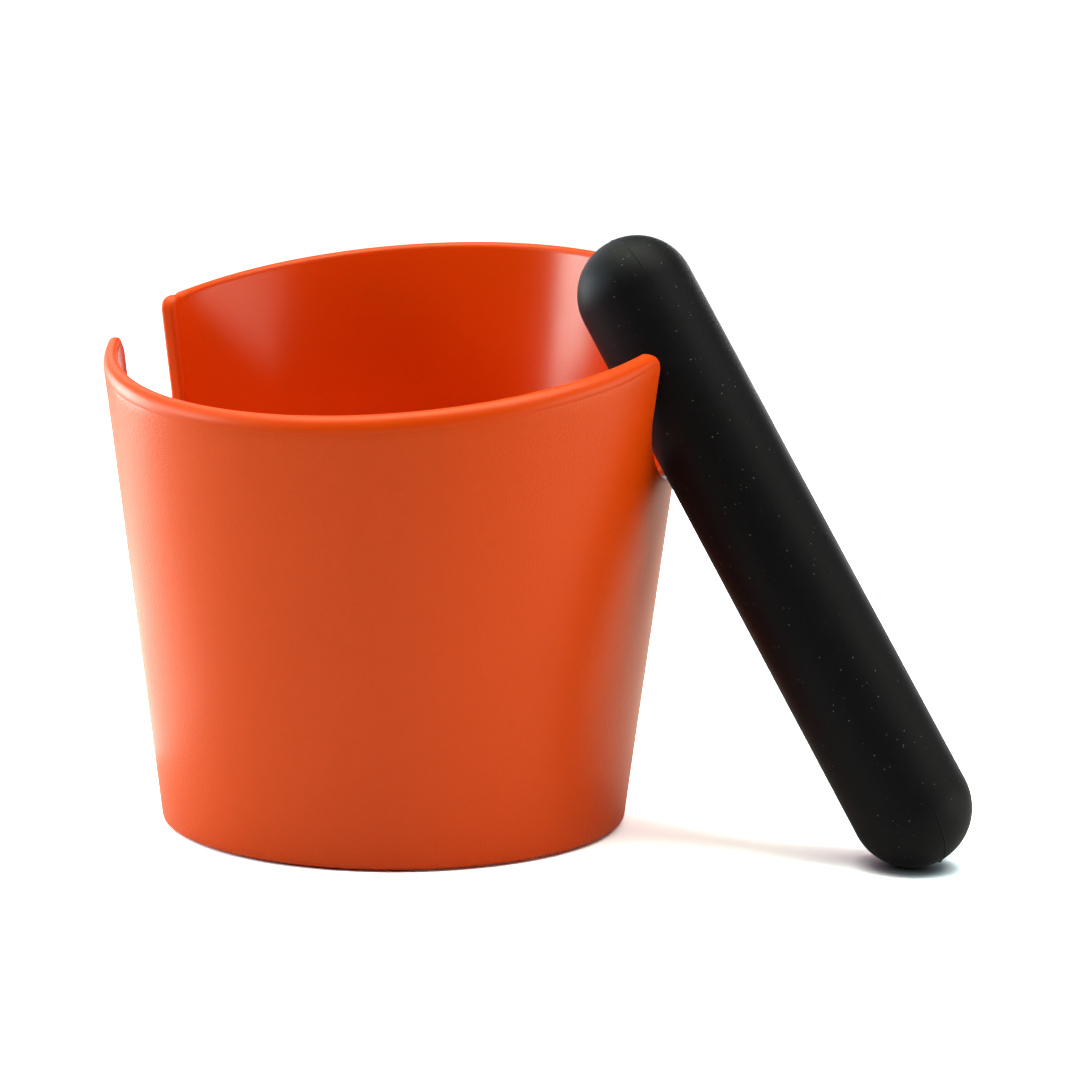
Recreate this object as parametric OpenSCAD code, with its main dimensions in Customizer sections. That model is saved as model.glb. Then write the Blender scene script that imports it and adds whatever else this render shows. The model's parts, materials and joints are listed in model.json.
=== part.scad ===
// Espresso knock box: a conical tub with a sloping rim, and a loose round
// knock bar that leans in one of the tub's two slots, its foot on the table.
//
// Origin: centre of the tub's base, on the surface that it stands on.
// +X points along the line of the two slots, to the side where the bar leans.
// +Y points to the high back of the rim, and +Z is up. Millimetres.

/* [Tub] */
// Outer radius of the wall where its cone meets the table
base_radius = 65; // [60:1:72]
// Growth of the outer radius for each millimetre of height
wall_flare = 0.1234; // [0.09:0.005:0.15]
// Wall thickness, measured level
wall = 4.2; // [2.6:0.2:4.6]
// Height of the sloping rim above the tub's axis
rim_height = 138.7; // [130:0.5:150]
// Rise of the rim for each millimetre towards the back
rim_rise = 0.2722; // [0.2:0.01:0.32]
// Thickness of the tub's floor
floor_thickness = 4.8; // [3.6:0.2:6]
// Radius of the rounding between the floor and the wall, inside
inner_fillet = 6; // [3:0.5:9]
// Radius of the rounding at the wall's lower edge, outside
base_fillet = 2; // [1:0.25:3]

/* [Slots] */
// Width of each slot, and of its round bottom
slot_width = 33.4; // [33.2:0.2:36]
// Height of the lowest point of each slot
slot_bottom = 99.6; // [92:0.5:106]
// Radius of the rounding where a slot meets the rim
slot_corner = 4.5; // [2:0.5:5]

/* [Base pad] */
// Radius of the pad under the floor
pad_radius = 56; // [46:1:58]
// Thickness of the pad
pad_thickness = 2.8; // [2:0.2:3.2]
// Gap between the tub's lower edge and the table
base_gap = 0.4; // [0.3:0.1:1.2]

/* [Knock bar] */
// Diameter of the bar and of its round ends
bar_diameter = 32; // [30:0.5:32]
// Overall length of the bar
bar_length = 186; // [184:1:196]
// Angle of the leaning bar above the table
lean_angle = 58.7; // [56:0.5:62]
// Turn of the leaning bar from the line of the slots, seen from above
lean_turn = -7.4; // [-8:0.2:0]
// Gap between the leaning bar and the edge of the slot
bar_gap = 0.3; // [0.2:0.05:0.5]

/* [Bar core] */
// Outer diameter of the steel tube
core_diameter = 20; // [16:1:22]
// Wall thickness of the steel tube
core_wall = 1.5; // [1:0.25:2]
// Length of the steel tube
core_length = 140; // [120:2:142]
// Thickness of the plugs' heads, which cover the tube's ends
plug_head = 2; // [1.5:0.25:3]
// Depth that each plug reaches into the tube
plug_depth = 10; // [6:1:14]

/* [Hidden] */
$fn = 96;
// Small overlap that keeps cuts clean
cut = 1;
// Clearance round the pad in its recess
pad_clearance = 0.2;
// A rounding's circle is this much larger than a tangent one, so that it meets
// the faces beside it at a clear angle
fuller = 1.01;

half_slot = slot_width / 2;
slot_centre = slot_bottom + half_slot;
rim_slope = atan(rim_rise);
// Height and reach that clear the whole tub, for the shapes that cut it
cut_reach = base_radius * 2;
blank_height = rim_height + cut_reach * rim_rise;
floor_top = base_gap + floor_thickness;

bar_radius = bar_diameter / 2;
bar_span = bar_length - bar_diameter;
plug_radius = core_diameter / 2 - core_wall;
cavity_length = core_length + 2 * plug_head;

// The leaning bar passes just over the outer edge of the slot's bottom
slot_edge_x = outer_radius(slot_bottom);
foot_reach = (bar_radius + bar_gap + (slot_bottom - bar_radius) * cos(lean_angle)) / sin(lean_angle);
bar_foot = [
    slot_edge_x + foot_reach * cos(lean_turn),
    foot_reach * sin(lean_turn),
    bar_radius
];

// Radius of the tub's outside at height z
function outer_radius(z) = base_radius + wall_flare * z;

// Radius of the tub's inside at height z
function inner_radius(z) = outer_radius(z) - wall;

// The tub's outside before it is cut: a cone with a rounded lower edge
module tub_outside() {
    rotate_extrude() difference() {
        polygon([
            [0, base_gap],
            [outer_radius(base_gap), base_gap],
            [outer_radius(blank_height), blank_height],
            [0, blank_height]
        ]);
        corner_cut([outer_radius(base_gap), base_gap], base_fillet);
    }
}

// The hollow of the tub: a cone with a rounded lower edge
module tub_hollow() {
    rotate_extrude() difference() {
        polygon([
            [0, floor_top],
            [inner_radius(floor_top), floor_top],
            [inner_radius(blank_height + cut), blank_height + cut],
            [0, blank_height + cut]
        ]);
        corner_cut([inner_radius(floor_top), floor_top], inner_fillet);
    }
}

// What a rounding of radius r takes off the corner where a level face meets the cone's wall
module corner_cut(corner, r) {
    wall_angle = atan(1 / wall_flare);
    tangent = r / tan((180 - wall_angle) / 2);
    on_wall = corner + tangent * [cos(wall_angle), sin(wall_angle)];
    centre = corner + [-tangent, r];
    difference() {
        polygon([
            corner + [-tangent, -cut],
            corner + [cut, -cut],
            on_wall + [cut, 0],
            on_wall,
            centre
        ]);
        translate(centre) circle(r * fuller);
    }
}

// Everything above the sloping rim, with the two slots, as one cut along X
module rim_and_slots() {
    translate([-cut_reach, 0, 0]) rotate([90, 0, 90]) linear_extrude(2 * cut_reach) {
        polygon([
            [-cut_reach, rim_height - cut_reach * rim_rise],
            [cut_reach, rim_height + cut_reach * rim_rise],
            [cut_reach, blank_height + 2 * cut],
            [-cut_reach, blank_height + 2 * cut]
        ]);
        translate([0, slot_centre]) circle(half_slot);
        translate([-half_slot, slot_centre]) square([slot_width, blank_height - slot_centre]);
        slot_corner_cut(-1);
        slot_corner_cut(1);
    }
}

// What the rounding takes off where a slot's side meets the rim, at the low side (-1) or high side (1)
module slot_corner_cut(side) {
    edge = side * half_slot;
    middle = [edge + side * slot_corner, 0];
    centre = [middle.x, rim_height + middle.x * rim_rise - slot_corner / cos(rim_slope)];
    on_rim = centre + slot_corner * [-sin(rim_slope), cos(rim_slope)];
    difference() {
        polygon([
            centre,
            [edge, centre.y],
            [edge - side * cut, centre.y],
            [edge - side * cut, rim_height + edge * rim_rise + cut],
            [edge, rim_height + edge * rim_rise + cut],
            on_rim
        ]);
        translate(centre) circle(slot_corner * fuller);
    }
}

// Places a shape that stands on the origin along +Z on the axis of the leaning bar,
// with its origin at the centre of the bar's foot end
module on_bar() {
    translate(bar_foot) rotate([0, lean_angle - 90, lean_turn]) children();
}

// One-piece tub: flared wall, floor, sloping rim and two slots
module tub() {
    color([0.86, 0.30, 0.10]) difference() {
        tub_outside();
        tub_hollow();
        rim_and_slots();
        translate([0, 0, base_gap - cut])
            cylinder(r = pad_radius + pad_clearance, h = pad_thickness - base_gap + cut);
    }
}

// Soft pad set into the underside of the floor, so that the tub doesn't slide
module base_pad() {
    color([0.10, 0.10, 0.10]) cylinder(r = pad_radius, h = pad_thickness);
}

// Soft sleeve moulded round the core, with round closed ends
module bar_sleeve() {
    color([0.09, 0.09, 0.10]) on_bar() difference() {
        union() {
            cylinder(r = bar_radius, h = bar_span);
            sphere(bar_radius);
            translate([0, 0, bar_span]) sphere(bar_radius);
        }
        translate([0, 0, (bar_span - cavity_length) / 2])
            cylinder(d = core_diameter, h = cavity_length);
    }
}

// Steel tube inside the sleeve
module bar_core_tube() {
    color([0.72, 0.73, 0.75]) on_bar() translate([0, 0, (bar_span - core_length) / 2]) difference() {
        cylinder(d = core_diameter, h = core_length);
        translate([0, 0, -cut]) cylinder(r = plug_radius, h = core_length + 2 * cut);
    }
}

// Plug with a head and a spigot, pointing along +Z from the tube's end at the origin
module end_plug() {
    color([0.85, 0.85, 0.82]) {
        translate([0, 0, -plug_head]) cylinder(d = core_diameter, h = plug_head);
        cylinder(r = plug_radius, h = plug_depth);
    }
}

// Plug at the end of the core nearer the table
module bar_plug_foot() {
    on_bar() translate([0, 0, (bar_span - core_length) / 2]) end_plug();
}

// Plug at the upper end of the core
module bar_plug_top() {
    on_bar() translate([0, 0, (bar_span + core_length) / 2]) mirror([0, 0, 1]) end_plug();
}

tub();
base_pad();
bar_sleeve();
bar_core_tube();
bar_plug_top();
bar_plug_foot();
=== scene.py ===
"""Looks of the espresso knock box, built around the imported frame. Lengths are metres."""

import json
import math

import bmesh
import bpy
import numpy as np
from mathutils import Matrix, Vector


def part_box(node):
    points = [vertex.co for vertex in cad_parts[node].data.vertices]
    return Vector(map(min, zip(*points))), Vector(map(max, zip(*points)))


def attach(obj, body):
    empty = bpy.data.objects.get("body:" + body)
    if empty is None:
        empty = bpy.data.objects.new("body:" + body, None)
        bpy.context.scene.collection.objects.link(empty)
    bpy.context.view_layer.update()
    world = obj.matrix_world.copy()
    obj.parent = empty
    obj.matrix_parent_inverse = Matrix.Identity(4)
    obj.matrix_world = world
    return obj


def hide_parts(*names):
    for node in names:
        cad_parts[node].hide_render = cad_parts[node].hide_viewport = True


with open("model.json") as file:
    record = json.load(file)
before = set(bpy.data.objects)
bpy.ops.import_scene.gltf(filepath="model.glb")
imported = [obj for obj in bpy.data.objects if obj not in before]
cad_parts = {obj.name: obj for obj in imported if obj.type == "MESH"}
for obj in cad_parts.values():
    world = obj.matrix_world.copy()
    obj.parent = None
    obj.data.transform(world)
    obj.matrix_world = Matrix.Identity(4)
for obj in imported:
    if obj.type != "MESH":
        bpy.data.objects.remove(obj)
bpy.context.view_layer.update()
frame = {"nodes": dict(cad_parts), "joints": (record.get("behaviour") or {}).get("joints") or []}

MM = 0.001

# ---------------------------------------------------------------- sizes
# The tub's wall is a cone, and its rim lies in a plane that rises to the back.
BASE_RADIUS = 65 * MM
FLARE = 0.1234
WALL = 4.2 * MM
WALL_LEAN = math.atan(1 / FLARE)
RIM_HEIGHT = 138.7 * MM
RIM_RISE = 0.2722
RIM_SLOPE = math.atan(RIM_RISE)
HALF_SLOT = 16.7 * MM
SLOT_BOTTOM = 99.6 * MM
SLOT_CENTRE = SLOT_BOTTOM + HALF_SLOT
SLOT_CORNER = 4.5 * MM
FLOOR_TOP = 5.2 * MM
INNER_FILLET = 6 * MM
BASE_FILLET = 2 * MM
BASE_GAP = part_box("tub")[0][2]
PAD_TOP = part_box("base_pad")[1][2]
PAD_CLEARANCE = 0.2 * MM
RECESS_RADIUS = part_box("base_pad")[1][0] + PAD_CLEARANCE

# The moulded edge: a smooth rounded band, a shallow groove, then the grained wall.
# The rounding's outer side is RIM_ROUND deep and RIM_DROP high on the rim, and SLOT_ROUND
# both ways in the slots.
RIM_ROUND = 2.9 * MM
RIM_DROP = 3.5 * MM
SLOT_ROUND = 1.6 * MM
INNER_ROUND = 1.1 * MM
GROOVE_WIDTH = 0.45 * MM
GROOVE_DEPTH = 0.09 * MM
GRAIN_STEP = 0.05 * MM

# The tub's grid: steps along its upper edge, rows of its wall and roundings, and rings of
# its flat faces as shares of their radius.
RIM_STEPS = 150
CORNER_STEPS = 12
SLOT_STEPS = (("bottom", 28), ("side", 12), ("corner", CORNER_STEPS))
SMOOTHING_PASSES = 2
WALL_ROWS = 44
BASE_FILLET_ROWS = 8
INNER_FILLET_ROWS = 10
OUTER_LIP_ROWS = 12
INNER_LIP_ROWS = 6
LIP_MARGIN = 0.02 * MM
INNER_LIP_MARGIN = 0.3 * MM
RECESS_RINGS = (0.3, 0.7, 1)
FLOOR_RINGS = (0.75, 0.5, 0.25, 0.08)
TUB_SHARP = math.radians(50)

# The bar, from the joint at its foot and the sleeve's box.
BAR_FOOT = Vector(frame["joints"][0]["pos_m"])
BAR_HINGE = Vector(frame["joints"][0]["axis"]).normalized()
BAR_RADIUS = BAR_FOOT.z
sleeve_low, sleeve_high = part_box("bar_sleeve")
BAR_TOP = Vector((
    sleeve_low[0] + BAR_RADIUS,
    sleeve_high[1] - BAR_RADIUS,
    sleeve_high[2] - BAR_RADIUS,
))
BAR_AXIS = (BAR_TOP - BAR_FOOT).normalized()
BAR_SPAN = (BAR_TOP - BAR_FOOT).length
CORE_RADIUS = 10 * MM
CAVITY_LENGTH = 144 * MM
CAVITY_SIDES = 96

# The marks of the sleeve's mould: the seam's ridge and step, and the gate's mark at the foot.
SEAM_ANGLE = math.radians(143)
SEAM_HEIGHT = 0.09 * MM
SEAM_WIDTH = 0.20 * MM
SEAM_STEP = 0.12 * MM
SEAM_STEP_REACH = 1.5 * MM
SHAFT_SEAM = 0.10
SHAFT_FADE = 0.5
GATE_HEIGHT = 0.32 * MM
GATE_RADIUS = 0.65 * MM

# The sleeve's grid, which is closer beside the seam and round the poles.
SHAFT_POINTS = 90
POLE_TURNS = np.radians([0.6, 1.2, 1.8, 2.4, 3.2, 4.5])
END_TURNS = np.radians(np.arange(7.5, 90, 3.0))
SEAM_ROWS = np.array([0.07, 0.14, 0.21, 0.30, 0.42, 0.6, 0.9, 1.4, 2.2]) * MM
SKIN_ROWS = 27
MERGE_DISTANCE = 0.001 * MM
SLEEVE_SHARP = math.radians(60)

# ---------------------------------------------------------------- colours
# Each pair is the two tones that a material drifts between.
GRAINED_ORANGE = ((0.815, 0.086, 0.0006, 1), (0.755, 0.077, 0.0005, 1))
SMOOTH_ORANGE = ((0.815, 0.084, 0.0018, 1), (0.755, 0.074, 0.0014, 1))
SILICONE_BLACK = ((0.0044, 0.0042, 0.0056, 1), (0.0070, 0.0066, 0.0086, 1))
DUST = (0.22, 0.22, 0.225, 1)
PAD_BLACK = ((0.018, 0.018, 0.018, 1), (0.030, 0.029, 0.028, 1))
STEEL = ((0.50, 0.50, 0.51, 1), (0.62, 0.62, 0.63, 1))
NYLON = ((0.70, 0.69, 0.64, 1), (0.62, 0.61, 0.56, 1))


# ---------------------------------------------------------------- helpers
def smoothstep(x):
    x = np.clip(x, 0, 1)
    return x * x * (3 - 2 * x)


def band(row, count):
    """Faces between one closed ring of count points and the next."""
    a, b = row * count, (row + 1) * count
    return [(a + i, a + (i + 1) % count, b + (i + 1) % count, b + i) for i in range(count)]


def mesh_object(name, points, faces, materials, face_material=None):
    """Makes a smooth-shaded mesh object from points and faces."""
    mesh = bpy.data.meshes.new(name)
    mesh.from_pydata([tuple(p) for p in points], [], faces)
    for material in materials:
        mesh.materials.append(material)
    if face_material is not None:
        mesh.polygons.foreach_set("material_index", face_material)
    mesh.polygons.foreach_set("use_smooth", [True] * len(mesh.polygons))
    mesh.validate()
    mesh.update()
    made = bpy.data.objects.new(name, mesh)
    bpy.context.collection.objects.link(made)
    return made


# ---------------------------------------------------------------- materials
class Shader:
    """A material's node tree, with short calls to add and join nodes."""

    def __init__(self, name):
        self.material = bpy.data.materials.new(name)
        self.material.use_nodes = True
        self.tree = self.material.node_tree
        self.surface = self.tree.nodes["Principled BSDF"]

    def node(self, kind, **values):
        """Adds a node, and sets its inputs or its own settings by name."""
        made = self.tree.nodes.new("ShaderNode" + kind)
        for key, value in values.items():
            if key in made.inputs:
                self.put(made.inputs[key], value)
            else:
                setattr(made, key, value)
        return made

    def put(self, socket, value):
        """Joins an output to the socket, or gives the socket a plain value."""
        if isinstance(value, bpy.types.NodeSocket):
            self.tree.links.new(value, socket)
        else:
            socket.default_value = value

    def set(self, **values):
        """Sets inputs of the surface. An underscore stands for a space in an input's name."""
        for key, value in values.items():
            self.put(self.surface.inputs[key.replace("_", " ")], value)

    def place(self):
        return self.node("TexCoord").outputs["Object"]

    def noise(self, scale, detail=2.0, rough=0.5, where=None):
        made = self.node("TexNoise", Scale=scale, Detail=detail, Roughness=rough)
        self.put(made.inputs["Vector"], where or self.place())
        return made.outputs["Fac"]

    def spread(self, value, source, target=(0.0, 1.0)):
        """Carries a value from one range over to another, and stops at its ends."""
        made = self.node("MapRange")
        self.put(made.inputs["Value"], value)
        for name, (low, high) in (("From", source), ("To", target)):
            made.inputs[name + " Min"].default_value = low
            made.inputs[name + " Max"].default_value = high
        return made.outputs["Result"]

    def maths(self, operation, a, b):
        made = self.node("Math", operation=operation)
        self.put(made.inputs[0], a)
        self.put(made.inputs[1], b)
        return made.outputs["Value"]

    def mix(self, amount, a, b):
        """Mixes two colours. The node's colour sockets share their names with its other
        sockets, so they are taken by number."""
        made = self.node("Mix", data_type="RGBA")
        self.put(made.inputs["Factor"], amount)
        self.put(made.inputs[6], a)
        self.put(made.inputs[7], b)
        return made.outputs[2]

    def bump(self, height, strength, distance, under=None):
        made = self.node("Bump", Strength=strength, Distance=distance)
        self.put(made.inputs["Height"], height)
        if under is not None:
            self.put(made.inputs["Normal"], under)
        return made.outputs["Normal"]


def plastic_drift(shader, tones):
    """Slow colour drift of the moulded plastic between two tones."""
    drift = shader.noise(14.0, detail=3.0)
    return shader.mix(shader.spread(drift, (0.1, 0.9)), *tones)


def grained_plastic():
    """The tub's outside: satin ABS with a very fine moulded grain."""
    shader = Shader("tub_grained_plastic")
    colour = plastic_drift(shader, GRAINED_ORANGE)
    grain = shader.noise(1700.0, detail=1.0)
    rubbed = shader.noise(38.0, detail=4.0, rough=0.65)
    shader.set(
        Base_Color=colour,
        Roughness=shader.spread(rubbed, (0.1, 0.9), (0.275, 0.37)),
        IOR=1.5,
        Specular_IOR_Level=0.40,
        Normal=shader.bump(grain, strength=1.0, distance=0.09 * MM),
    )
    return shader.material


def smooth_plastic(name, roughness, gloss):
    """The same ABS without the grain, from a smooth mould face: the edge and the inside."""
    shader = Shader(name)
    colour = plastic_drift(shader, SMOOTH_ORANGE)
    flow = shader.noise(55.0)
    fine = shader.noise(900.0)
    normal = shader.bump(flow, strength=0.25, distance=0.15 * MM)
    worn = shader.noise(30.0, detail=4.0, rough=0.6)
    shader.set(
        Base_Color=colour,
        Roughness=shader.spread(worn, (0.1, 0.9), roughness),
        IOR=1.5,
        Specular_IOR_Level=gloss,
        Normal=shader.bump(fine, strength=0.08, distance=0.02 * MM, under=normal),
    )
    return shader.material


def dust_specks(shader):
    """1 on small dots of dust, one in about every second cell, and 0 elsewhere."""
    cells = shader.node("TexVoronoi", Scale=720.0, Randomness=1.0)
    shader.put(cells.inputs["Vector"], shader.place())
    chosen = shader.node("SeparateColor")
    shader.put(chosen.inputs["Color"], cells.outputs["Color"])
    size = shader.spread(chosen.outputs["Red"], (0.5, 1.0), (0.0, 0.14))
    return shader.maths("LESS_THAN", cells.outputs["Distance"], size)


def silicone():
    """The bar's sleeve: matt black silicone with a little dust on it."""
    shader = Shader("bar_silicone")
    dust = shader.maths("MULTIPLY", dust_specks(shader), 0.6)
    cloud = shader.noise(120.0, detail=5.0, rough=0.7)
    black = shader.mix(shader.spread(cloud, (0.45, 0.75), (0.0, 0.35)), *SILICONE_BLACK)
    worn = shader.noise(60.0, detail=4.0, rough=0.65)
    fine = shader.noise(2200.0, detail=3.0, rough=0.6)
    shader.set(
        Base_Color=shader.mix(dust, black, DUST),
        Roughness=shader.spread(worn, (0.3, 0.7), (0.50, 0.60)),
        IOR=1.42,
        Specular_IOR_Level=0.32,
        Specular_Tint=(0.88, 0.86, 1.0, 1),
        Sheen_Weight=0.08,
        Sheen_Roughness=0.45,
        Sheen_Tint=(0.80, 0.86, 1.0, 1),
        Normal=shader.bump(fine, strength=0.55, distance=0.05 * MM),
    )
    return shader.material


def pad_rubber():
    """The pad under the tub: soft dark rubber."""
    shader = Shader("pad_rubber")
    tone = shader.spread(shader.noise(90.0, detail=4.0), (0.3, 0.7))
    worn = shader.noise(300.0, detail=3.0)
    fine = shader.noise(1100.0, detail=3.0)
    shader.set(
        Base_Color=shader.mix(tone, *PAD_BLACK),
        Roughness=shader.spread(worn, (0.3, 0.7), (0.72, 0.86)),
        Normal=shader.bump(fine, strength=0.5, distance=0.06 * MM),
    )
    return shader.material


def core_steel():
    """The hidden tube: drawn steel with fine lines along it."""
    shader = Shader("core_steel")
    turn = shader.node("Mapping")
    shader.put(turn.inputs["Vector"], shader.place())
    turn.inputs["Rotation"].default_value = BAR_AXIS.to_track_quat("Z", "Y").inverted().to_euler()
    turn.inputs["Scale"].default_value = (1.0, 1.0, 0.03)
    lines = shader.noise(900.0, detail=3.0, where=turn.outputs["Vector"])
    shader.set(
        Base_Color=shader.mix(lines, *STEEL),
        Metallic=1.0,
        Roughness=shader.spread(lines, (0.3, 0.7), (0.26, 0.42)),
        Normal=shader.bump(lines, strength=0.2, distance=0.02 * MM),
    )
    return shader.material


def plug_plastic():
    """The hidden plugs: plain natural nylon."""
    shader = Shader("plug_plastic")
    tone = shader.spread(shader.noise(160.0, detail=3.0), (0.3, 0.7))
    worn = shader.noise(400.0, detail=3.0)
    fine = shader.noise(1300.0)
    shader.set(
        Base_Color=shader.mix(tone, *NYLON),
        Roughness=shader.spread(worn, (0.3, 0.7), (0.42, 0.55)),
        Normal=shader.bump(fine, strength=0.2, distance=0.03 * MM),
    )
    return shader.material


# ---------------------------------------------------------------- tub
def outline_plan():
    """The tub's upper edge as a list of (piece, sign of x, position 0 to 1), anticlockwise
    from above, starting at the bottom of the slot on the +X side."""
    plan = []

    def add(piece, side, steps, backwards=False):
        for i in range(steps):
            t = i / steps
            plan.append((piece, side, 1 - t if backwards else t))

    for part, side in (("high", 1), ("low", -1)):
        for piece, steps in SLOT_STEPS:
            add(f"{piece}_{part}", side, steps)
        add(f"rim_{part}", 0, RIM_STEPS)
        for piece, steps in reversed(SLOT_STEPS):
            add(f"{piece}_{part}", -side, steps, backwards=True)
    return plan


PLAN = outline_plan()


def slot_point(piece, t, inset):
    """Point (y, z) of a slot's outline, seen along X and moved into the material by inset."""
    side = 1 if piece.endswith("high") else -1
    corner_y = side * (HALF_SLOT + SLOT_CORNER)
    corner_z = RIM_HEIGHT + corner_y * RIM_RISE - SLOT_CORNER / math.cos(RIM_SLOPE)
    half = HALF_SLOT + inset
    if piece.startswith("bottom"):
        angle = t * math.pi / 2
        return side * half * math.sin(angle), SLOT_CENTRE - half * math.cos(angle)
    if piece.startswith("side"):
        return side * half, SLOT_CENTRE + t * (corner_z - SLOT_CENTRE)
    radius = SLOT_CORNER - inset
    start, end = math.pi / 2, -RIM_SLOPE * side
    angle = start + t * (end - start)
    return corner_y - side * radius * math.sin(angle), corner_z + radius * math.cos(angle)


def wall_radius(z, depth):
    """Radius of the tub's wall at height z, at a depth under its outer face."""
    return BASE_RADIUS + FLARE * z - depth


def edge_point(piece, side, t, inset, depth):
    """Point of the tub's edge at a depth into the wall's thickness, moved down by inset."""
    if side:
        y, z = slot_point(piece, t, inset)
        return side * math.sqrt(wall_radius(z, depth) ** 2 - y * y), y, z
    high = piece == "rim_high"
    y, z = slot_point("corner_high" if high else "corner_low", 1, inset)
    first = math.asin(y / wall_radius(z, depth))
    if high:
        angle = first + t * (math.pi - 2 * first)
    else:
        angle = math.pi - first + t * (math.pi + 2 * first)
    sine = math.sin(angle)
    level = RIM_HEIGHT - inset / math.cos(RIM_SLOPE)
    radius = wall_radius(level, depth) / (1 - FLARE * RIM_RISE * sine)
    return radius * math.cos(angle), radius * sine, level + RIM_RISE * radius * sine


def edge_ring(insets, depths):
    """One closed ring of points round the tub's edge."""
    return np.array([
        edge_point(piece, side, t, inset, depth)
        for (piece, side, t), inset, depth in zip(PLAN, insets, depths)
    ])


def rim_share():
    """1 on the rim and 0 in the slots, changing smoothly at the corners."""
    share = np.array([1.0 if side == 0 else 0.0 for _, side, _ in PLAN])
    shifts = range(-CORNER_STEPS // 2, CORNER_STEPS // 2 + 1)
    for _ in range(SMOOTHING_PASSES):
        share = sum(np.roll(share, shift) for shift in shifts) / len(shifts)
    return share


def ring_angles(ring):
    """Angles of the grid's lines at the base: the edge's length, spread evenly."""
    steps = np.linalg.norm(np.roll(ring, -1, axis=0) - ring, axis=1)
    along = np.concatenate([[0], np.cumsum(steps)[:-1]]) / steps.sum()
    return along * 2 * math.pi


def round_ring(angles, radius, z):
    """Ring of points at height z. radius and z are one number each, or one for each point."""
    height = np.broadcast_to(z, angles.shape)
    return np.column_stack([radius * np.cos(angles), radius * np.sin(angles), height])


def wall_rings(top, angles, foot, depth):
    """Rings of the wall between its edge ring and a level ring at height foot."""
    theta = np.unwrap(np.arctan2(top[:, 1], top[:, 0]))
    theta += round((angles.mean() - theta.mean()) / (2 * math.pi)) * 2 * math.pi
    made = []
    for row in range(1, WALL_ROWS + 1):
        share = row / WALL_ROWS
        z = top[:, 2] + (foot - top[:, 2]) * share
        made.append(round_ring(theta + (angles - theta) * share, wall_radius(z, depth), z))
    return made


def fillet_tangent(rounding):
    """Length from the corner of wall and level face to where their rounding starts."""
    return rounding / math.tan((math.pi - WALL_LEAN) / 2)


def fillet_top(level, rounding):
    """Height where the wall runs into the rounding above a level face."""
    return level + fillet_tangent(rounding) * math.sin(WALL_LEAN)


def fillet_rings(angles, corner_radius, level, rounding, rows, depth):
    """Rings of the rounding between the wall's foot and a level face, from wall to face.
    The wall lies at a depth under its outer face, which fades to nothing along the rounding."""
    centre = (corner_radius - fillet_tangent(rounding), level + rounding)
    made = []
    for i in range(1, rows + 1):
        angle = -(math.pi / 2 - WALL_LEAN) * (1 - i / rows) - math.pi / 2 * i / rows
        made.append(round_ring(
            angles,
            centre[0] + rounding * math.cos(angle) - depth * (1 - i / rows),
            centre[1] + rounding * math.sin(angle),
        ))
    return made


def outside_rings(step_ring, angles):
    """From the recess under the floor, round the base's edge and up the grained wall."""
    rings = [round_ring(angles, RECESS_RADIUS * part, PAD_TOP) for part in RECESS_RINGS]
    rings.append(round_ring(angles, RECESS_RADIUS, BASE_GAP))
    corner = wall_radius(BASE_GAP, 0)
    rings += fillet_rings(angles, corner, BASE_GAP, BASE_FILLET, BASE_FILLET_ROWS, GRAIN_STEP)[::-1]
    rings += wall_rings(step_ring, angles, fillet_top(BASE_GAP, BASE_FILLET), GRAIN_STEP)[::-1]
    return rings + [step_ring]


def lip_rings(outer_drop, outer_round):
    """From the groove over the rounded edge to the top of the inside wall."""
    zeros = np.zeros(len(PLAN))
    rings = [
        edge_ring(outer_drop + GROOVE_WIDTH / 2, zeros + GROOVE_DEPTH),
        edge_ring(outer_drop + LIP_MARGIN, zeros),
    ]
    for i in range(OUTER_LIP_ROWS + 1):
        angle = i / OUTER_LIP_ROWS * math.pi / 2
        rings.append(edge_ring(outer_drop * (1 - math.sin(angle)), outer_round * (1 - math.cos(angle))))
    for i in range(INNER_LIP_ROWS + 1):
        angle = i / INNER_LIP_ROWS * math.pi / 2
        rings.append(edge_ring(
            zeros + INNER_ROUND * (1 - math.cos(angle)),
            zeros + WALL - INNER_ROUND * (1 - math.sin(angle)),
        ))
    return rings + [edge_ring(zeros + INNER_ROUND + INNER_LIP_MARGIN, zeros + WALL)]


def inside_rings(inner_edge, angles):
    """Down the inside wall, round the fillet and over the floor."""
    rings = wall_rings(inner_edge, angles, fillet_top(FLOOR_TOP, INNER_FILLET), WALL)
    corner = wall_radius(FLOOR_TOP, WALL)
    rings += fillet_rings(angles, corner, FLOOR_TOP, INNER_FILLET, INNER_FILLET_ROWS, 0)
    floor_radius = np.linalg.norm(rings[-1][0, :2])
    return rings + [round_ring(angles, floor_radius * part, FLOOR_TOP) for part in FLOOR_RINGS]


def tub_rings():
    """All rings of the tub, from the centre of its underside over the edge to the centre of its
    floor, and the numbers of the rings where the grained wall ends and where the inside starts."""
    share = rim_share()
    outer_round = SLOT_ROUND + (RIM_ROUND - SLOT_ROUND) * share
    outer_drop = SLOT_ROUND + (RIM_DROP - SLOT_ROUND) * share
    step_ring = edge_ring(outer_drop + GROOVE_WIDTH, np.full(len(PLAN), GRAIN_STEP))
    angles = ring_angles(step_ring)
    outside = outside_rings(step_ring, angles)
    lip = lip_rings(outer_drop, outer_round)
    inside = inside_rings(lip[-1], angles)
    return outside + lip + inside, len(outside), len(outside) + len(lip)


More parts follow.
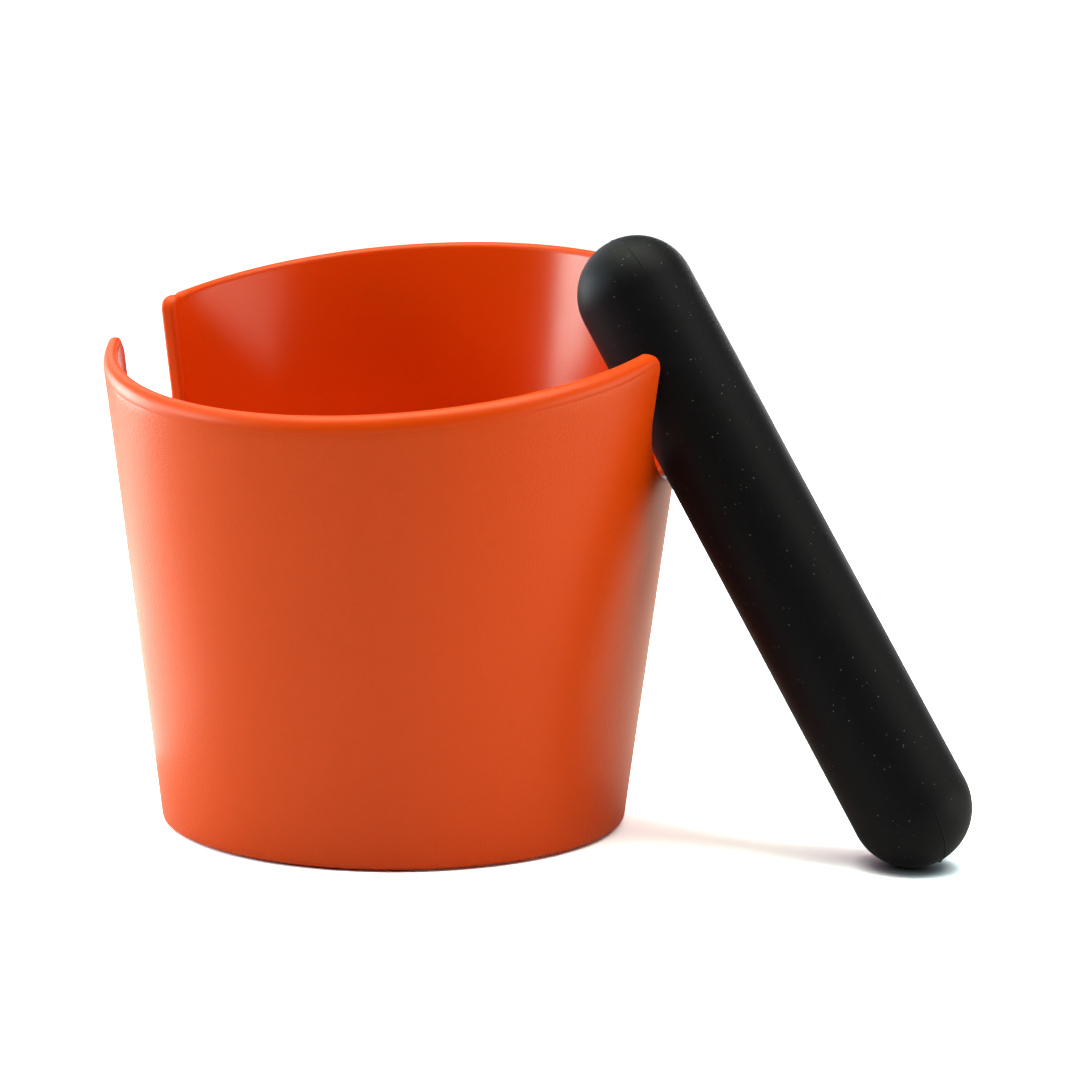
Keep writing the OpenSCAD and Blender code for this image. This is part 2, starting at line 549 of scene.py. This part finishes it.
def tub_piece(materials):
    """The tub as one closed skin. materials are those of the outside, the edge and the inside."""
    outside_kind, edge_kind, inside_kind = range(3)
    rings, grained, inside = tub_rings()
    count = len(PLAN)
    points = list(np.concatenate(rings)) + [(0, 0, PAD_TOP), (0, 0, FLOOR_TOP)]
    under, floor = len(points) - 2, len(points) - 1
    faces = [(under, (i + 1) % count, i) for i in range(count)]
    kinds = [outside_kind] * count
    for row in range(len(rings) - 1):
        faces += band(row, count)
        if row < grained - 1:
            kinds += [outside_kind] * count
        elif row < inside - 1:
            kinds += [edge_kind] * count
        else:
            kinds += [inside_kind] * count
    last = (len(rings) - 1) * count
    faces += [(last + i, last + (i + 1) % count, floor) for i in range(count)]
    kinds += [inside_kind] * count
    tub = mesh_object("tub_shell", points, faces, materials, kinds)
    tub.data.set_sharp_from_angle(angle=TUB_SHARP)
    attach(tub, "tub_body")
    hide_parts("tub")


# ---------------------------------------------------------------- knock bar
def seam_frame():
    """Directions in the bar's parting plane and square to it."""
    other = BAR_HINGE.cross(BAR_AXIS)
    in_plane = BAR_HINGE * math.cos(SEAM_ANGLE) + other * math.sin(SEAM_ANGLE)
    return in_plane, BAR_AXIS.cross(in_plane)


def sleeve_outline():
    """The sleeve's outline in its parting plane: (place along the axis, turn from the side)."""
    sides = np.linspace(0, BAR_SPAN, SHAFT_POINTS)
    half = np.concatenate([POLE_TURNS, END_TURNS])
    arc = np.concatenate([-half[::-1], [0], half]) + math.pi / 2
    outline = [(s, 0.0) for s in sides]
    outline += [(BAR_SPAN, a) for a in arc]
    outline += [(s, math.pi) for s in sides[::-1]]
    outline += [(0.0, math.pi + a) for a in arc]
    return outline


def sleeve_lifts():
    """Angles of the sleeve's rows away from the parting plane, closer together beside it."""
    close = SEAM_ROWS / BAR_RADIUS
    wide = np.linspace(close[-1], math.pi / 2, SKIN_ROWS)[1:]
    half = np.concatenate([close, wide])
    return np.concatenate([-half[::-1], [0], half])


def skin_height(lift, along, turn):
    """Height of the skin over the plain round form: seam ridge, mould step and gate mark.
    The seam shows on the round ends and is buffed away along the shaft."""
    away = abs(lift) * BAR_RADIUS
    off_shaft = abs(math.sin(turn)) if along in (0.0, BAR_SPAN) else 0.0
    strength = SHAFT_SEAM + (1 - SHAFT_SEAM) * smoothstep(off_shaft / SHAFT_FADE)
    height = strength * SEAM_HEIGHT * math.exp(-(away / SEAM_WIDTH) ** 2)
    if lift < 0:
        height -= strength * SEAM_STEP * math.exp(-away / SEAM_STEP_REACH)
    if along == 0.0 and turn > math.pi:
        from_pole = math.hypot(away, (turn - 1.5 * math.pi) * BAR_RADIUS)
        height += GATE_HEIGHT * math.exp(-(from_pole / GATE_RADIUS) ** 4)
    return height


def add_cavity(mesh):
    """Adds the closed bore that holds the core, facing inwards."""
    middle = BAR_FOOT + BAR_AXIS * BAR_SPAN / 2
    turn = BAR_AXIS.to_track_quat("Z", "Y").to_matrix().to_4x4()
    made = bmesh.ops.create_cone(
        mesh,
        cap_ends=True,
        segments=CAVITY_SIDES,
        radius1=CORE_RADIUS,
        radius2=CORE_RADIUS,
        depth=CAVITY_LENGTH,
        matrix=Matrix.Translation(middle) @ turn,
    )
    faces = {face for vertex in made["verts"] for face in vertex.link_faces}
    bmesh.ops.reverse_faces(mesh, faces=list(faces))


def sleeve_piece(material):
    """The sleeve: a round bar with round ends, and the marks of its two-part mould."""
    in_plane, across = seam_frame()
    outline = sleeve_outline()
    lifts = sleeve_lifts()
    points = []
    for lift in lifts:
        for along, turn in outline:
            out = in_plane * math.cos(turn) + BAR_AXIS * math.sin(turn)
            radius = BAR_RADIUS + skin_height(lift, along, turn)
            direction = out * math.cos(lift) + across * math.sin(lift)
            points.append(BAR_FOOT + BAR_AXIS * along + direction * radius)
    faces = []
    for row in range(len(lifts) - 1):
        faces += band(row, len(outline))
    sleeve = mesh_object("bar_sleeve_skin", points, faces, [material])
    mesh = bmesh.new()
    mesh.from_mesh(sleeve.data)
    bmesh.ops.remove_doubles(mesh, verts=mesh.verts, dist=MERGE_DISTANCE)
    bmesh.ops.recalc_face_normals(mesh, faces=mesh.faces)
    add_cavity(mesh)
    for face in mesh.faces:
        face.smooth = True
    mesh.to_mesh(sleeve.data)
    mesh.free()
    sleeve.data.set_sharp_from_angle(angle=SLEEVE_SHARP)
    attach(sleeve, "bar")
    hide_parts("bar_sleeve")


# ---------------------------------------------------------------- CAD nodes that stay
def finish_nodes():
    """Gives the pad and the bar's hidden parts their materials. They keep their CAD shape."""
    looks = {
        "base_pad": pad_rubber(),
        "bar_core_tube": core_steel(),
        "bar_plug_top": plug_plastic(),
    }
    looks["bar_plug_foot"] = looks["bar_plug_top"]
    for name, material in looks.items():
        node = frame["nodes"][name]
        node.data.materials.clear()
        node.data.materials.append(material)


# ---------------------------------------------------------------- stage, light and camera
CAMERA_PLACE = Vector((0.2229, -0.6182, 0.1612))
CAMERA_TURN = math.radians(16.34)
CAMERA_DIP = math.radians(7.18)
CAMERA_ROLL = 0.0155
CAMERA_LENS = 78.76
CAMERA_SENSOR = 36
CAMERA_NEAR = 0.01
CAMERA_FAR = 50

# The floor as the camera sees it, and as the light that it throws back to the object.
FLOOR_HALF = 30.0
FLOOR_SEEN = (1.96, 2.22, 2.58, 1)
FLOOR_LIT = (0.70, 0.70, 0.70, 1)
FLOOR_GLOW = 1.2
GLOW_RANGE = (0.25, 0.70)
# How far the floor's painted contact shadow reaches: ambient occlusion within this distance darkens the
# floor's colour.
PAINTED_SHADOW_REACH = 6 * MM
# The floor's painted contact shadow, darkened by ambient occlusion, starts outside the tub's base,
# between these distances from its axis.
PAINTED_SHADOW_RANGE = (74 * MM, 84 * MM)

BACKDROP = 1.05
WHITE = (1.0, 1.0, 1.0)
COOL = (0.80, 0.96, 0.94)
WARM = (0.95, 1.0, 0.75)
MILD = (0.94, 1.0, 0.86)
SOFT = (1.0, 0.95, 0.84)
LIGHT_AIM = Vector((0.02, 0.0, 0.08))
LIGHT_DISTANCE = 1.5
TABLE_LIGHT_HEIGHT = 0.01
TABLE_LIGHT_LEAN = 0.02


def camera_only(tree, seen, other):
    """Mixes two shaders: one that the camera sees, and one for every other ray."""
    path = tree.nodes.new("ShaderNodeLightPath")
    choose = tree.nodes.new("ShaderNodeMixShader")
    tree.links.new(path.outputs["Is Camera Ray"], choose.inputs["Fac"])
    tree.links.new(other, choose.inputs[1])
    tree.links.new(seen, choose.inputs[2])
    return choose.outputs["Shader"]


def stage_floor():
    """A wide pale floor. To the camera it is overexposed, as a lit white table is, and it glows
    away from the object so that no horizon shows. Outside the tub's base, the colour that the
    camera sees is darkened by ambient occlusion near what touches the floor: a painted contact
    shadow under the bar's foot. As a light it is plain white."""
    shader = Shader("floor_white")
    tree = shader.tree
    tree.nodes.remove(shader.surface)
    distance = shader.node("VectorMath", operation="LENGTH")
    shader.put(distance.inputs[0], shader.place())
    from_axis = distance.outputs["Value"]
    # Painted contact shadow: ambient occlusion darkens the floor's colour, as the camera sees it, near
    # what touches the floor outside the tub's base.
    painted_contact_shadow = shader.node("AmbientOcclusion", Distance=PAINTED_SHADOW_REACH, Color=FLOOR_SEEN)
    painted_shadow_share = shader.spread(from_axis, PAINTED_SHADOW_RANGE)
    colour = shader.mix(painted_shadow_share, FLOOR_SEEN, painted_contact_shadow.outputs["Color"])
    seen = shader.node("BsdfDiffuse", Color=colour)
    lit = shader.node("BsdfDiffuse", Color=FLOOR_LIT)
    glow = shader.node("Emission", Strength=shader.spread(from_axis, GLOW_RANGE, (0.0, FLOOR_GLOW)))
    both = shader.node("AddShader")
    shader.put(both.inputs[0], seen.outputs["BSDF"])
    shader.put(both.inputs[1], glow.outputs["Emission"])
    mixed = camera_only(tree, both.outputs["Shader"], lit.outputs["BSDF"])
    tree.links.new(mixed, tree.nodes["Material Output"].inputs["Surface"])
    half = FLOOR_HALF
    corners = [(-half, -half, 0), (half, -half, 0), (half, half, 0), (-half, half, 0)]
    floor = mesh_object("floor", corners, [(0, 1, 2, 3)], [shader.material])


def studio_world():
    """White to the camera, and no light of its own: the lamps and the floor give all of it."""
    world = bpy.data.worlds.new("studio")
    world.use_nodes = True
    tree = world.node_tree
    seen = tree.nodes["Background"]
    seen.inputs["Strength"].default_value = BACKDROP
    seen.inputs["Color"].default_value = (1, 1, 1, 1)
    lit = tree.nodes.new("ShaderNodeBackground")
    lit.inputs["Strength"].default_value = 0.0
    mixed = camera_only(tree, seen.outputs["Background"], lit.outputs["Background"])
    tree.links.new(mixed, tree.nodes["World Output"].inputs["Surface"])
    bpy.context.scene.world = world


def place_round(turn, reach, height):
    """A place round the object. turn is its bearing in degrees from the camera to the left."""
    bearing = math.atan2(CAMERA_PLACE.y, CAMERA_PLACE.x) - math.radians(turn)
    x = LIGHT_AIM.x + reach * math.cos(bearing)
    y = LIGHT_AIM.y + reach * math.sin(bearing)
    return Vector((x, y, height))


def area_light(name, place, aim, size, radiance, tint):
    """A rectangular soft light. It lights the object but doesn't show in the picture."""
    light = bpy.data.lights.new(name, "AREA")
    light.shape = "RECTANGLE"
    light.size, light.size_y = size
    light.energy = radiance * math.pi * size[0] * size[1]
    light.color = tint
    made = bpy.data.objects.new(name, light)
    bpy.context.collection.objects.link(made)
    made.location = place
    made.rotation_mode = "QUATERNION"
    made.rotation_quaternion = (aim - place).to_track_quat("-Z", "Y")
    made.visible_camera = False


def upright_light(name, turn, height, size, radiance, tint=WHITE):
    """A light that stands beside the object and faces it level."""
    aim = Vector((LIGHT_AIM.x, LIGHT_AIM.y, height))
    area_light(name, place_round(turn, LIGHT_DISTANCE, height), aim, size, radiance, tint)


def high_light(name, turn, lift, size, radiance, tint=WHITE):
    """A light that hangs above the object and faces down to it, at an angle lift in degrees."""
    lift = math.radians(lift)
    height = LIGHT_AIM.z + LIGHT_DISTANCE * math.sin(lift)
    place = place_round(turn, LIGHT_DISTANCE * math.cos(lift), height)
    area_light(name, place, LIGHT_AIM, size, radiance, tint)


def table_light(name, turn, reach, size, radiance, tint=WHITE):
    """A bright patch of the table, facing up. Its size is its width and its length outwards."""
    place = place_round(turn, reach, TABLE_LIGHT_HEIGHT)
    inwards = (place_round(turn, 0, TABLE_LIGHT_HEIGHT) - place).normalized()
    aim = place + Vector((0, 0, 1)) + inwards * TABLE_LIGHT_LEAN
    area_light(name, place, aim, size, radiance, tint)


def studio_lights():
    """The soft lights, by bearing, then height or reach in metres or lift in degrees, then
    width and height, then radiance."""
    table_light("bright_table", 127, 0.36, (0.28, 0.50), 0.9, tint=COOL)
    upright_light("low_back_left", 122, 0.30, (0.50, 0.58), 16.5, tint=COOL)
    upright_light("window_left", 84, 0.58, (0.50, 0.48), 11.5, tint=COOL)
    upright_light("panel_right", -74, 0.23, (1.26, 0.42), 4.2, tint=SOFT)
    upright_light("panel_back_right", -150, 0.38, (0.80, 0.72), 2.2)
    upright_light("backdrop", 180, 0.40, (2.40, 0.70), 1.0)
    high_light("high_right", -66, 38, (1.00, 0.90), 0.45, tint=WARM)
    high_light("high_front_right", -60, 62, (0.80, 0.70), 4.6, tint=MILD)
    high_light("high_left", 90, 40, (0.62, 0.75), 1.6)
    high_light("high_back", 150, 40, (0.62, 0.75), 1.7)
    high_light("top", 90, 84, (1.25, 1.25), 4.2, tint=WARM)


def photo_camera():
    """The camera: it looks along +Y, turned to the left, tipped down and rolled a little."""
    data = bpy.data.cameras.new("camera")
    data.lens = CAMERA_LENS
    data.sensor_width = CAMERA_SENSOR
    data.clip_start = CAMERA_NEAR
    data.clip_end = CAMERA_FAR
    camera = bpy.data.objects.new("camera", data)
    bpy.context.collection.objects.link(camera)
    level = Vector((math.cos(CAMERA_TURN), math.sin(CAMERA_TURN), 0))
    ahead = Vector((
        -math.sin(CAMERA_TURN) * math.cos(CAMERA_DIP),
        math.cos(CAMERA_TURN) * math.cos(CAMERA_DIP),
        -math.sin(CAMERA_DIP),
    ))
    up = level.cross(ahead)
    right = level * math.cos(CAMERA_ROLL) + up * math.sin(CAMERA_ROLL)
    up = right.cross(ahead)
    turn = Matrix((right, up, -ahead)).transposed().to_4x4()
    camera.matrix_world = Matrix.Translation(CAMERA_PLACE) @ turn
    bpy.context.scene.camera = camera


photo_camera()
studio_world()
studio_lights()
stage_floor()
tub_piece([
    grained_plastic(),
    smooth_plastic("tub_edge_plastic", roughness=(0.34, 0.48), gloss=0.34),
    smooth_plastic("tub_inside_plastic", roughness=(0.20, 0.268), gloss=0.50),
])
sleeve_piece(silicone())
finish_nodes()
bpy.context.scene.view_settings.view_transform = "Standard"
bpy.context.scene.view_settings.look = "Medium High Contrast"
